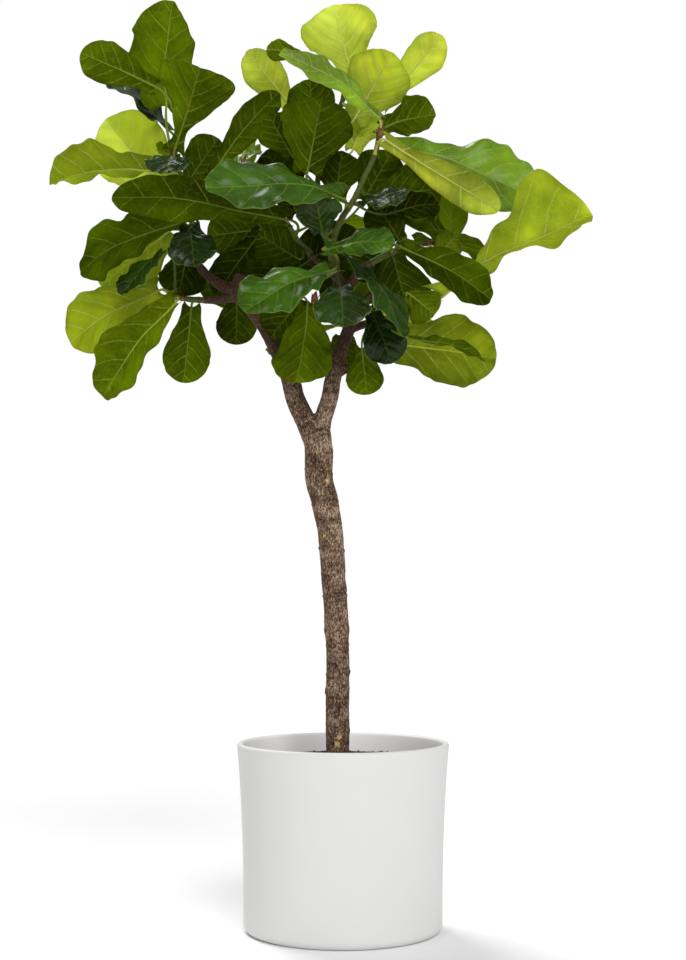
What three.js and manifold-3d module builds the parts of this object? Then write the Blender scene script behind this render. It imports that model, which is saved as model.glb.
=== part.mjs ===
// A fiddle leaf fig: a woody stem with two limbs that carry leafy shoots, in soil, in a plain round pot.
// Millimetres, +Z up. The origin is the centre of the pot's underside, and +Y runs away from the viewer.
import * as THREE from 'three';
import { mergeVertices } from 'three/addons/utils/BufferGeometryUtils.js';
import Module from 'manifold-3d';

const wasm = await Module();
wasm.setup();

// ---- Driving dimensions ----

const CLEARANCE = 0.3; // between pieces that rest on or stand in each other

const POT = {
  height: 350,
  rimRadius: 200,
  footRadius: 186.5, // of the side, carried straight down to the floor
  flare: 2.4, // power of the curve by which the side opens towards the rim
  wall: 12,
  floor: 18,
  cornerRadius: 15, // round the foot
  innerCornerRadius: 20,
  sides: 32,
};

const SOIL = { edgeHeight: 312, mound: 10, holeRadius: 23.2, holeFloor: 150 };

// What grows from the soil, bottom to top: points on the axis of each limb, and its radius at each.
const TRUNK_FOOT = [-10, 0, SOIL.holeFloor + CLEARANCE];
const TRUNK = {
  path: [
    TRUNK_FOOT, [-10, 0, 330], [-10, 0, 430], [-10, 0, 525], [-15, 0, 615], [-20, 0, 695], [-25, 0, 750],
    [-35, 0, 805], [-45, 0, 845], [-46, 0, 895], [-50, 0, 935],
  ],
  radii: [22, 22.3, 22, 22.5, 22, 22.5, 23, 23.5, 25, 27, 26],
  sides: 11,
  rows: 10,
};

const LIMBS = {
  left: {
    path: [
      [-50, 0, 905], [-70, 0, 955], [-90, 5, 1000], [-102, 10, 1045], [-125, 20, 1095], [-148, 28, 1140],
      [-175, 30, 1175], [-205, 25, 1210],
    ],
    radii: [20, 20, 19, 18, 17, 16, 15, 15],
    sides: 8,
    rows: 7,
  },
  leftKnob: { path: [[-205, 25, 1200], [-201, 23, 1222], [-197, 22, 1243]], radii: [15, 16, 11], sides: 8, rows: 3 },
  leftTip: { path: [[-203, 25, 1208], [-235, 20, 1222], [-260, 20, 1240], [-280, 20, 1262]], radii: [13, 11, 9, 8] },
  leftLow: { path: [[-200, 25, 1200], [-240, 10, 1192], [-268, 0, 1190]], radii: [9, 8, 7] },
  right: {
    path: [
      [-48, 0, 905], [-40, 0, 955], [-26, 0, 1000], [-20, 0, 1035], [-12, 0, 1070], [-3, 0, 1100],
      [8, 0, 1125], [15, 0, 1152], [13, 0, 1187], [-3, 0, 1222], [-20, 0, 1255],
    ],
    radii: [19, 18, 17, 16, 15, 14, 13, 12, 11, 9.5, 8],
    sides: 8,
    rows: 9,
  },
  rightStub: { path: [[-14, 0, 1046], [14, -5, 1061]], radii: [9, 8], sides: 7, rows: 2 },
  twig: { path: [[-20, 0, 1040], [-40, -5, 1088], [-58, -10, 1120], [-60, -20, 1148]], radii: [6, 5, 4.5, 4.5] },
  rightLow: { path: [[10, 0, 1133], [36, 10, 1143], [58, 16, 1151]], radii: [10, 8, 7] },
  rightUpper: { path: [[3, 0, 1205], [30, 0, 1243], [60, 0, 1265]], radii: [8, 7, 6] },
  top: { path: [[-5, 0, 1218], [-15, 30, 1265], [-25, 60, 1302]], radii: [8, 7, 6.5] },
  inner: { path: [[-12, 0, 1232], [-45, 15, 1262], [-68, 18, 1288]], radii: [7, 5.5, 5] },
  backLeft: { path: [[-172, 28, 1175], [-180, 70, 1208], [-186, 110, 1248]], radii: [10, 8, 6.5] },
  backRight: { path: [[12, 0, 1155], [40, 45, 1190], [65, 80, 1227]], radii: [9, 7, 6] },
  backLow: { path: [[-8, 0, 1082], [0, 40, 1104], [5, 75, 1126]], radii: [8, 6, 5] },
};
const LIMB_SIDES = 6;
const LIMB_ROWS = 2;

// The leafy shoots. Each stem goes on from the end of a limb. A leaf is given by the base and the tip of
// its blade, the way its upper face looks, its width, and where they aren't the common ones, its fold along
// the midrib, its arch, and the power that sets where it is broadest.
const SHOOTS = {
  shoot_upper_left: {
    limb: 'leftTip',
    stem: [[-280, 10, 1310], [-295, 0, 1355], [-305, 0, 1405], [-315, 0, 1440], [-325, 0, 1465]],
    leaves: [
      [[-346, 50, 1580], [-337, 80, 1800], [-0.6, 0.8, 0.1], 146, 0.3, 0.08, 1.15],
      [[-364, 2, 1606], [-500, -40, 1658], [0, 1, 0.45], 84, 0.3],
      [[-322, -20, 1475], [-266, -110, 1608], [0.1, 0.9, 0.6], 152, 0.42, 0.08, 3.4],
      [[-345, 70, 1540], [-480, 110, 1650], [0.3, -0.35, 0.9], 110],
      [[-350, 110, 1418], [-473, 120, 1573], [0, 1, 0.1], 156],
      [[-370, -10, 1438], [-554, -60, 1404], [0, 0.45, 0.9], 122, 0.6],
      [[-325, -52, 1454], [-322, -146, 1400], [0, -0.45, 0.9], 88],
      [[-320, 20, 1465], [-365, 60, 1495], [0, 0.6, 0.8], 50],
      [[-308, 76, 1432], [-246, 86, 1526], [0, 0.9, 0.4], 86],
      [[-300, -30, 1337], [-487, -100, 1225], [-0.2, 0.5, 0.85], 132, 0.25],
      [[-335, 30, 1330], [-470, 40, 1225], [0, 1, 0.2], 130],
      [[-290, -40, 1325], [-275, -110, 1235], [0, -0.8, 0.5], 95],
      [[-255, 60, 1450], [-125, 60, 1610], [-0.5, 0.8, 0.3], 70],
      [[-300, 34, 1298], [-318, 30, 1204], [0, 0.9, 0.2], 92],
    ],
  },
  shoot_lower_left: {
    limb: 'leftLow',
    stem: [[-295, -10, 1190], [-320, -20, 1192]],
    leaves: [
      [[-335, -74, 1268], [-408, -112, 1180], [-0.3, -0.5, 0.8], 78],
      [[-350, -20, 1205], [-512, -60, 1100], [-0.35, 0.75, 0.6], 130, 0.3],
      [[-314, -60, 1176], [-440, -110, 991], [-0.7, 0.6, 0.35], 120, 0.45],
      [[-292, 20, 1180], [-308, 30, 1034], [0, 1, 0.1], 92],
    ],
  },
  shoot_fork: {
    limb: 'twig',
    stem: [[-60, -30, 1160], [-55, -45, 1180]],
    leaves: [
      [[-66, -50, 1175], [-88, -80, 1022], [0.25, 0.9, 0.1], 116, 0.3],
      [[-80, -15, 1190], [-137, -20, 1116], [0, 1, 0.2], 90],
    ],
  },
  shoot_centre: {
    limb: 'right',
    stem: [
      [-20, -40, 1290], [-5, -60, 1330], [20, -60, 1370], [40, -50, 1415], [60, -40, 1460], [70, -40, 1505],
    ],
    leaves: [
      [[-20, -90, 1231], [-178, -190, 1137], [-0.1, -0.75, 0.65], 122],
      [[-5, -80, 1200], [0, -190, 1110], [0, -0.7, 0.7], 105],
      [[10, -60, 1260], [110, -140, 1100], [0.5, -0.35, 0.8], 100],
      [[-30, -90, 1270], [95, -150, 1270], [0, -0.8, 0.55], 75],
      [[-40, -80, 1305], [-50, -130, 1360], [0, -1, 0.2], 90],
      [[0, -72, 1370], [-248, -198, 1361], [-0.1, -0.84, 0.54], 136],
      [[65, 20, 1395], [190, 30, 1412], [0, 1, 0.3], 118],
      [[85, -30, 1350], [180, -70, 1360], [0, 0.6, 0.8], 70],
      [[35, -70, 1365], [115, -120, 1355], [0, -0.7, 0.7], 82],
      [[80, -70, 1482], [288, -130, 1337], [-0.4, 0.8, 0.4], 68, 0.12, 0.12],
      [[104, 30, 1492], [370, 30, 1394], [0.2, -0.9, 0.4], 164, 0.15, 0.08, 2.2],
      [[65, -50, 1532], [-118, -100, 1640], [0.35, -0.75, 0.6], 84],
      [[74, 30, 1530], [182, 60, 1566], [0, 0.7, 0.7], 88, 0.45],
    ],
  },
  shoot_top: {
    limb: 'top',
    stem: [[-50, 80, 1370], [-50, 100, 1445], [-30, 110, 1520], [-10, 110, 1580], [5, 110, 1630]],
    leaves: [
      [[-68, -20, 1434], [-40, -60, 1565], [0, 0.9, 0.35], 142, 0.4],
      [[-60, 60, 1525], [-65, 70, 1640], [0, 1, 0.2], 95],
      [[-100, 30, 1480], [-145, 30, 1556], [0, 1, 0.3], 82],
      [[-104, 130, 1602], [-195, 170, 1728], [0, 1, 0.2], 82],
      [[18, 130, 1665], [-20, 150, 1815], [0, 1, 0.1], 160, 0.15, 0.08, 2.2],
      [[22, 80, 1562], [98, 80, 1696], [0, 1, 0.1], 126, 0.25],
      [[82, 120, 1602], [198, 115, 1742], [0, 1, 0.2], 78, 0.2, 0.08, 2.3],
      [[-84, 70, 1688], [-150, 55, 1695], [0, 0.8, 0.6], 45],
      [[20, 90, 1505], [52, 110, 1600], [0, 1, 0], 86],
      [[40, 43, 1392], [95, 59, 1492], [0, 1, 0.2], 98],
      [[-90, 60, 1372], [-150, 80, 1502], [0, 1, 0.2], 105],
    ],
  },
  shoot_right: {
    limb: 'rightLow',
    stem: [[105, 28, 1162], [140, 22, 1172], [168, 20, 1190]],
    leaves: [
      [[190, 15, 1198], [470, -60, 1341], [0.3, 0.25, 0.95], 205, 0.55, 0.08, 3.3],
      [[126, -12, 1200], [174, -25, 1158], [0, 1, 0.2], 76],
      [[100, -30, 1101], [285, -80, 1067], [0.1, 0.95, 0.25], 134, 0.25, 0.08, 1.3],
      [[125, -85, 1105], [262, -134, 1055], [0, 0.3, 0.95], 60],
      [[55, -40, 1160], [90, -60, 1060], [0, -0.9, 0.4], 85],
      [[36, -24, 1095], [45, -24, 1005], [0, 1, 0.1], 70],
    ],
  },
  shoot_right_upper: {
    limb: 'rightUpper',
    stem: [[100, 0, 1285], [140, 10, 1300], [175, 20, 1305]],
    leaves: [
      [[110, -70, 1278], [272, -130, 1170], [-0.2, 0.7, 0.7], 88, 0.3],
      [[95, 42, 1290], [125, 46, 1180], [0, 1, 0.2], 115],
      [[208, 60, 1292], [218, 62, 1434], [-0.2, 1, 0.1], 74],
      [[188, 62, 1330], [122, 82, 1414], [0, 1, 0.2], 76],
      [[180, 0, 1275], [215, -20, 1310], [0, 1, 0.2], 60],
      [[92, 84, 1300], [12, 98, 1266], [0, 1, 0.2], 80],
      [[108, 46, 1316], [64, 74, 1398], [0, 1, 0.2], 88],
    ],
  },
  shoot_inner: {
    limb: 'inner',
    stem: [[-85, 20, 1305], [-100, 20, 1330], [-115, 25, 1350]],
    leaves: [
      [[-110, -80, 1330], [-420, -174, 1350], [0, 0.8, 0.6], 90, 0.2],
      [[-160, 44, 1330], [-247, 48, 1207], [0, 0.9, 0.4], 82],
      [[-105, 42, 1290], [-177, 52, 1220], [0, 0.9, 0.4], 83],
      [[-150, 88, 1345], [-270, 112, 1335], [0, 0.9, 0.3], 96],
      [[-85, 10, 1272], [-165, 26, 1322], [0, 1, 0.2], 92],
      [[-14, 28, 1395], [-2, 42, 1490], [0, 1, 0.1], 92],
      [[-95, 84, 1262], [-8, 96, 1325], [0, 1, 0.2], 100],
    ],
  },
};
const FOLD = 0.15; // unless a leaf has its own
const ARCH = 0.08; // of a blade's length, unless a leaf has its own

// The shoots at the back: the leaves spread in a fan about a bearing, by the golden angle.
const BACK_SHOOTS = {
  shoot_back_left: {
    limb: 'backLeft',
    stem: [[-198, 142, 1300], [-215, 172, 1380], [-215, 190, 1450], [-205, 200, 1500]],
    count: 6,
    bearing: 105,
    fan: 70,
    length: [215, 150],
    rise: [-12, 45],
    leaves: [[[-210, 100, 1221], [-212, 120, 1120], [0, 1, 0.2], 82]],
  },
  shoot_back_right: {
    limb: 'backRight',
    stem: [[92, 115, 1275], [115, 150, 1340], [125, 175, 1410], [120, 185, 1460]],
    count: 6,
    bearing: 75,
    fan: 60,
    length: [210, 150],
    rise: [-30, 20],
  },
  shoot_back_low: {
    limb: 'backLow',
    stem: [[10, 110, 1150], [10, 140, 1180]],
    count: 3,
    bearing: 95,
    fan: 75,
    length: [170, 157],
    rise: [-20, -12],
    leaves: [[[-16, 162, 1210], [-28, 124, 1370], [0, 1, -0.2], 135]],
  },
};
const GOLDEN_ANGLE = 137.5;
const BACK_LEAF = { petiole: 35, widthOfLength: 0.62, droop: 28, firstHeight: 0.12, facing: 75 };

const STEM = { radii: [6.5, 5.5, 4.5], sides: 6, rows: 4, sunk: 8 };
const BUD = { length: 26, radii: [5, 0.8], sides: 5, rows: 1 };
const PETIOLE = {
  radii: [3, 2.4],
  places: { long: [0, 0.45, 0.9], short: [0, 0.65] }, // of its rings, as shares of its length
  firstRoot: 8, // above the end of the limb
  angles: [150, 90, 30, -30, -90, -150],
  below: 25, // the blade's base, where it leaves the stem
  rootSpacing: 4, // of the places on the stem where it may leave
  inLine: 0.4, // of its length, over which it comes in line with the midrib
};

// Blade: rows of points across, from the base to the tip, closer where the outline turns.
const BLADE = {
  thickness: 1.5,
  rows: { long: [0, 0.1, 0.3, 0.52, 0.73, 0.91], short: [0, 0.12, 0.38, 0.64, 0.88] },
  across: { wide: [-1, -0.5, 0, 0.5, 1], narrow: [-1, 0, 1] },
  longFrom: 170,
  wideFrom: 140, // of the length
  lobeSetBack: 0.07, // of the length, by which the two lobes at the base reach behind it
  edgeDroop: 0.05, // of the width
  wave: 0.055, // of the width
  wavesPerSide: 2.4,
  waveShift: 2, // radians, between the two sides of a blade
  phaseStep: 2.4, // radians, from one leaf of a shoot to the next
  midribRound: 6,
};

// The outline: the higher the first power, the nearer to the tip the blade is broadest.
const OUTLINE = { broadest: 1.7, bluntness: 0.5, lobes: 0.32, lobeReach: 0.13 };

const LOOKS = {
  pot: { color: 0xe0deda, roughness: 0.55, metalness: 0 },
  soil: { color: 0x3b2a22, roughness: 0.95, metalness: 0 },
  bark: { color: 0x77604f, roughness: 0.85, metalness: 0 },
  leaf: { color: 0x5d8a22, roughness: 0.45, metalness: 0 },
};

// ---- Solids ----

const point = ([x, y, z]) => new THREE.Vector3(x, y, z);

// A closed geometry as a solid that can be joined and cut.
function solid(geometry) {
  geometry.deleteAttribute('normal');
  geometry.deleteAttribute('uv');
  const merged = mergeVertices(geometry, 1e-3);
  const corners = merged.index.array;
  const kept = [];
  for (let i = 0; i < corners.length; i += 3) {
    const [a, b, c] = [corners[i], corners[i + 1], corners[i + 2]];
    if (a !== b && b !== c && c !== a) kept.push(a, b, c);
  }
  const vertProperties = merged.attributes.position.array;
  return new wasm.Manifold(new wasm.Mesh({ numProp: 3, vertProperties, triVerts: new Uint32Array(kept) }));
}

function geometryOf(joined) {
  const { vertProperties, triVerts } = joined.getMesh();
  const geometry = new THREE.BufferGeometry();
  geometry.setAttribute('position', new THREE.BufferAttribute(vertProperties, 3));
  geometry.setIndex(new THREE.BufferAttribute(triVerts, 1));
  return geometry;
}

// A value that runs evenly through a list, at a fraction of the way along it.
function along(list, fraction) {
  const place = fraction * (list.length - 1);
  const before = Math.min(Math.floor(place), list.length - 2);
  return THREE.MathUtils.lerp(list[before], list[before + 1], place - before);
}

// A closed round bar along a curve, its radius changing as it goes.
function bar(curve, radii, sides, rows) {
  const frames = curve.computeFrenetFrames(rows, false);
  const geometry = new THREE.CylinderGeometry(1, 1, 1, sides, rows);
  const places = geometry.attributes.position;
  for (let i = 0; i < places.count; i++) {
    const fraction = places.getY(i) + 0.5;
    const row = Math.round(fraction * rows);
    const radius = along(radii, fraction);
    const place = curve.getPointAt(fraction);
    place.addScaledVector(frames.binormals[row], places.getX(i) * radius);
    place.addScaledVector(frames.normals[row], places.getZ(i) * radius);
    places.setXYZ(i, place.x, place.y, place.z);
  }
  return solid(geometry);
}

// ---- Pot and soil ----

// The outer radius of the pot's side at a height: nearly straight low down, opening towards the rim.
function sideRadius(height) {
  const share = (height / POT.height) ** POT.flare;
  return POT.footRadius + (POT.rimRadius - POT.footRadius) * share;
}

// Points on a round corner: centre, radius, and the angles where it starts and ends.
function corner(centreX, centreY, radius, from, to, steps) {
  const points = [];
  for (let i = 0; i <= steps; i++) {
    const angle = THREE.MathUtils.degToRad(THREE.MathUtils.lerp(from, to, i / steps));
    points.push(new THREE.Vector2(centreX + radius * Math.cos(angle), centreY + radius * Math.sin(angle)));
  }
  return points;
}

// Points up the side, at a distance inside the outer face.
function side(fromHeight, toHeight, inset, steps) {
  const points = [];
  for (let i = 0; i <= steps; i++) {
    const height = THREE.MathUtils.lerp(fromHeight, toHeight, i / steps);
    points.push(new THREE.Vector2(sideRadius(height) - inset, height));
  }
  return points;
}

// The inside of the pot from the soil's edge down to the middle of its floor, moved in by a margin.
function insideProfile(margin) {
  const radius = POT.innerCornerRadius;
  const top = POT.floor + radius;
  return [
    ...side(SOIL.edgeHeight, top, POT.wall + margin, 2),
    ...corner(sideRadius(top) - POT.wall - margin - radius, top + margin, radius, -20, -90, 2),
    new THREE.Vector2(0, POT.floor + margin),
  ];
}

// A profile of radii and heights turned about the pot's axis.
function turned(profile) {
  const geometry = new THREE.LatheGeometry(profile, POT.sides);
  geometry.rotateX(Math.PI / 2);
  return solid(geometry);
}

function potGeometry() {
  const rim = POT.wall / 2;
  const foot = POT.cornerRadius;
  const profile = [
    new THREE.Vector2(0, 0),
    ...corner(sideRadius(foot) - foot, foot, foot, -90, 0, 3),
    ...side(80, POT.height - rim, 0, 4),
    ...corner(sideRadius(POT.height) - rim, POT.height - rim, rim, 30, 150, 4),
    new THREE.Vector2(sideRadius(POT.height - rim) - POT.wall, POT.height - rim),
    ...insideProfile(0),
  ];
  return geometryOf(turned(profile));
}

function soilGeometry() {
  const outside = insideProfile(CLEARANCE);
  const radius = outside[0].x;
  const profile = [
    ...outside.toReversed(),
    new THREE.Vector2(radius * 0.7, SOIL.edgeHeight + SOIL.mound * 0.5),
    new THREE.Vector2(0, SOIL.edgeHeight + SOIL.mound),
  ];
  const depth = POT.height - SOIL.holeFloor;
  const hole = new THREE.CylinderGeometry(SOIL.holeRadius, SOIL.holeRadius, depth, 16);
  hole.rotateX(Math.PI / 2);
  hole.translate(TRUNK_FOOT[0], TRUNK_FOOT[1], SOIL.holeFloor + depth / 2);
  return geometryOf(turned(profile).subtract(solid(hole)));
}

// ---- Trunk and limbs ----

// A limb as a bar. The margin makes it thicker and longer all over, to cut its seat in what goes on from it.
function limb({ path, radii, sides = LIMB_SIDES, rows = LIMB_ROWS }, margin = 0) {
  const points = path.map(point);
  const last = points.at(-1);
  const onward = last.clone().sub(points.at(-2)).setLength(margin);
  last.add(onward);
  const curve = new THREE.CatmullRomCurve3(points, false, 'centripetal');
  return bar(curve, radii.map((radius) => radius + margin), sides, rows);
}

function wood(margin = 0) {
  return wasm.Manifold.union([TRUNK, ...Object.values(LIMBS)].map((each) => limb(each, margin)));
}

// ---- Leaves ----

// The share of the full width at a fraction of the length: two small lobes at the base, a narrow waist,
// a broad upper half and a blunt end.
function outline(u, broadest) {
  const body = Math.sin(Math.PI * u ** broadest) ** OUTLINE.bluntness;
  const lobes = OUTLINE.lobes * Math.exp(-((u / OUTLINE.lobeReach) ** 2));
  return body + lobes;
}

// A place on a blade, u along it from base to tip and v across it from -1 to 1, raised above its middle face.
function onBlade(leaf, u, v, raise) {
  const { base, axis, across, normal, length, width, fold, arch, broadest, phase } = leaf;
  const half = 0.5 * width * outline(u, broadest);
  const setBack = BLADE.lobeSetBack * v * v * Math.exp(-((u / OUTLINE.lobeReach) ** 2));
  const x = length * (u - setBack);
  const y = half * v;
  const round = BLADE.midribRound;
  const swell = Math.sin(Math.PI * u);
  const edge = Math.abs(v) ** 1.5;
  const turn = 2 * Math.PI * BLADE.wavesPerSide * u + phase + (v < 0 ? BLADE.waveShift : 0);
  const z =
    arch * length * swell +
    fold * (Math.hypot(y, round) - round) -
    BLADE.edgeDroop * width * v * v * swell +
    BLADE.wave * width * edge * Math.sin(turn);
  return base
    .clone()
    .addScaledVector(axis, x)
    .addScaledVector(across, y)
    .addScaledVector(normal, z + raise);
}

// A leaf from its row in a shoot's list. Its edge waves in its own phase.
function leafOf([from, to, facing, width, fold = FOLD, arch = ARCH, broadest = OUTLINE.broadest], index) {
  const base = point(from);
  const axis = point(to).sub(base);
  const length = axis.length();
  axis.normalize();
  const normal = point(facing).addScaledVector(axis, -point(facing).dot(axis)).normalize();
  const across = new THREE.Vector3().crossVectors(normal, axis);
  return { base, axis, across, normal, length, width, fold, arch, broadest, phase: BLADE.phaseStep * index };
}

const isLong = (leaf) => leaf.length >= BLADE.longFrom;

// The curve of a petiole: it leaves the stem a little below the blade and comes to the blade's base in line
// with the midrib.
function petioleCurve(leaf, stem) {
  const lowered = leaf.base.clone().setZ(leaf.base.z - PETIOLE.below);
  const places = stem.getSpacedPoints(stem.getLength() / PETIOLE.rootSpacing);
  const free = places.slice(Math.ceil((STEM.sunk + PETIOLE.firstRoot) / PETIOLE.rootSpacing));
  const nearest = free.reduce((a, b) => (a.distanceTo(lowered) < b.distanceTo(lowered) ? a : b));
  const behind = leaf.base.clone().addScaledVector(leaf.axis, -PETIOLE.inLine * nearest.distanceTo(leaf.base));
  return new THREE.QuadraticBezierCurve3(nearest, behind, leaf.base);
}

// Rings of six points round the petiole, from the stem up, in the order of the blade's first ring: the upper
// three from left to right, then the lower three from right to left.
function petioleRings(leaf, stem) {
  const curve = petioleCurve(leaf, stem);
  const rings = [];
  let sideways = leaf.across;
  const places = isLong(leaf) ? PETIOLE.places.long : PETIOLE.places.short;
  for (const fraction of places.toReversed()) {
    const place = curve.getPoint(fraction);
    const onward = curve.getTangent(fraction);
    sideways = sideways.clone().addScaledVector(onward, -sideways.dot(onward)).normalize();
    const upward = new THREE.Vector3().crossVectors(onward, sideways);
    const radius = along(PETIOLE.radii, fraction);
    const ring = PETIOLE.angles.map((angle) => {
      const turn = THREE.MathUtils.degToRad(angle);
      const out = sideways.clone().multiplyScalar(Math.cos(turn)).addScaledVector(upward, Math.sin(turn));
      return place.clone().addScaledVector(out, radius);
    });
    rings.unshift(ring);
  }
  return rings;
}

// A leaf in one closed sheet with its petiole: the blade's upper face, the same triangles turned over below,
// a rim round them, and at the base, instead of the rim's middle, the petiole's rings.
function leafSolid(leaf, stem) {
  const rows = isLong(leaf) ? BLADE.rows.long : BLADE.rows.short;
  const across = leaf.length >= BLADE.wideFrom ? BLADE.across.wide : BLADE.across.narrow;
  const columns = across.length;
  const middle = (columns - 1) / 2;
  const places = [];
  for (const raise of [BLADE.thickness / 2, -BLADE.thickness / 2]) {
    for (const u of rows) {
      for (const v of across) places.push(onBlade(leaf, u, u === 0 ? v * Math.abs(v) : v, raise));
    }
    places.push(onBlade(leaf, 1, 0, raise));
  }
  const tip = rows.length * columns;
  const below = tip + 1;
  const upper = [];
  for (let row = 0; row < rows.length - 1; row++) {
    for (let column = 0; column < columns - 1; column++) {
      const a = row * columns + column;
      const b = a + columns;
      upper.push(...(column < middle ? [a, b, b + 1, a, b + 1, a + 1] : [a, b, a + 1, a + 1, b, b + 1]));
    }
  }
  for (let column = 0; column < columns - 1; column++) {
    upper.push(tip - columns + column, tip, tip - columns + column + 1);
  }
  const corners = [...upper];
  for (let i = 0; i < upper.length; i += 3) {
    corners.push(upper[i] + below, upper[i + 2] + below, upper[i + 1] + below);
  }
  const rim = [];
  for (let column = middle + 1; column < columns; column++) rim.push(column);
  for (let row = 1; row < rows.length; row++) rim.push((row + 1) * columns - 1);
  rim.push(tip);
  for (let row = rows.length - 1; row > 0; row--) rim.push(row * columns);
  for (let column = 0; column < middle; column++) rim.push(column);
  for (let i = 0; i < rim.length - 1; i++) {
    const [a, b] = [rim[i], rim[i + 1]];
    corners.push(a, b, b + below, a, b + below, a + below);
  }
  const rings = petioleRings(leaf, stem);
  const starts = rings.map((ring, i) => places.length + i * ring.length);
  rings.forEach((ring) => places.push(...ring));
  const ringCorners = starts.map((start) => [0, 1, 2, 3, 4, 5].map((i) => start + i));
  const left = middle - 1;
  const right = middle + 1;
  ringCorners.push([left, middle, right, right + below, middle + below, left + below]);
  for (let ring = 0; ring < ringCorners.length - 1; ring++) {
    const [near, far] = [ringCorners[ring], ringCorners[ring + 1]];
    for (let i = 0; i < near.length; i++) {
      const next = (i + 1) % near.length;
      corners.push(near[i], far[next], near[next], near[i], far[i], far[next]);
    }
  }
  const root = ringCorners[0];
  for (let i = 1; i < root.length - 1; i++) corners.push(root[0], root[i], root[i + 1]);
  const geometry = new THREE.BufferGeometry().setFromPoints(places);
  geometry.setIndex(corners);
  return solid(geometry);
}

// ---- Shoots ----

// The list of leaves of a shoot at the back.
function fannedLeaves({ limb: from, stem, count, bearing, fan, length, rise, leaves: placed = [] }) {
  const curve = stemCurve({ limb: from, stem });
  const leaves = [...placed];
  for (let i = 0; i < count; i++) {
    const share = i / (count - 1);
    const turn = bearing + fan * Math.sin(THREE.MathUtils.degToRad(i * GOLDEN_ANGLE));
    const lift = THREE.MathUtils.lerp(rise[0], rise[1], share);
    const size = THREE.MathUtils.lerp(length[0], length[1], share);
    const grows = curve.getPointAt(THREE.MathUtils.lerp(BACK_LEAF.firstHeight, 1, share));
    const base = grows.addScaledVector(heading(turn, lift + BACK_LEAF.droop), BACK_LEAF.petiole);
    const tip = base.clone().addScaledVector(heading(turn, lift), size);
    const facing = heading(turn, BACK_LEAF.facing);
    leaves.push([base.toArray(), tip.toArray(), facing.toArray(), size * BACK_LEAF.widthOfLength]);
  }
  return leaves;
}

// A direction by its bearing about +Z and its rise from the level, in degrees.
function heading(bearing, rise) {
  const polar = THREE.MathUtils.degToRad(90 - rise);
  const azimuth = THREE.MathUtils.degToRad(bearing);
  return new THREE.Vector3(
    Math.sin(polar) * Math.cos(azimuth),
    Math.sin(polar) * Math.sin(azimuth),
    Math.cos(polar),
  );
}

// The stem starts inside the end of its limb, along the limb's own line.
function stemCurve({ limb: from, stem }) {
  const path = LIMBS[from].path.map(point);
  const end = path.at(-1);
  const inward = path.at(-2).sub(end).setLength(STEM.sunk);
  const start = end.clone().add(inward);
  return new THREE.CatmullRomCurve3([start, end, ...stem.map(point)], false, 'centripetal');
}

function bud(stem) {
  const start = stem.getPointAt(0.97);
  const end = stem.getPointAt(1).addScaledVector(stem.getTangentAt(1), BUD.length);
  return bar(new THREE.LineCurve3(start, end), BUD.radii, BUD.sides, BUD.rows);
}

function shootGeometry(shoot, seats) {
  const stem = stemCurve(shoot);
  const pieces = [bar(stem, STEM.radii, STEM.sides, STEM.rows), bud(stem)];
  shoot.leaves.map(leafOf).forEach((leaf) => pieces.push(leafSolid(leaf, stem)));
  const whole = wasm.Manifold.union(pieces).subtract(seats);
  const bodies = whole.decompose().sort((a, b) => b.volume() - a.volume());
  return geometryOf(bodies[0]);
}

// ---- The plant in its pot ----

const plant = new THREE.Group();

function add(name, geometry, look, origin = [0, 0, 0]) {
  geometry.translate(-origin[0], -origin[1], -origin[2]);
  const mesh = new THREE.Mesh(geometry, new THREE.MeshStandardMaterial(LOOKS[look]));
  mesh.name = name;
  mesh.position.set(...origin);
  plant.add(mesh);
}

add('pot', potGeometry(), 'pot');
add('soil', soilGeometry(), 'soil');
add('trunk', geometryOf(wood()), 'bark', TRUNK_FOOT);

const seats = wood(CLEARANCE);
for (const [name, shoot] of Object.entries(SHOOTS)) {
  add(name, shootGeometry(shoot, seats), 'leaf', LIMBS[shoot.limb].path.at(-1));
}
for (const [name, shoot] of Object.entries(BACK_SHOOTS)) {
  const leaves = fannedLeaves(shoot);
  add(name, shootGeometry({ ...shoot, leaves }, seats), 'leaf', LIMBS[shoot.limb].path.at(-1));
}

export default plant;
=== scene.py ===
"""A fiddle leaf fig in a plain round pot: a woody stem, two limbs and leafy shoots, in potting soil."""

import math
import random

import bmesh
import bpy
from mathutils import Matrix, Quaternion, Vector, noise


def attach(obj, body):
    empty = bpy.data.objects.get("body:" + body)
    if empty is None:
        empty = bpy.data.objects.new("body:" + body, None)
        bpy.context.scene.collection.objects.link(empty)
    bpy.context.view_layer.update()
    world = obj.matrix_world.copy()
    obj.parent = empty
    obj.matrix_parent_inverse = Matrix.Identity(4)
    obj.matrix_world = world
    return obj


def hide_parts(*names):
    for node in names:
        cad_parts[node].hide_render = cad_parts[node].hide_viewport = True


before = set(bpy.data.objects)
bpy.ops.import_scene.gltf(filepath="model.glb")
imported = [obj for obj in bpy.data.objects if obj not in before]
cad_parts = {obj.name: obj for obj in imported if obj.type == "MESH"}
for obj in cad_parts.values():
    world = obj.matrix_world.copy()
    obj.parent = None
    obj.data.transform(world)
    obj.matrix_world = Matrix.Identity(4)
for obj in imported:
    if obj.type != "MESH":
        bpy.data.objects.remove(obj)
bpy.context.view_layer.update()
scene = bpy.context.scene

MM = 0.001  # the tables below are in millimetres, and the meshes in metres

# ---- Pot and soil, in millimetres ----

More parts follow.
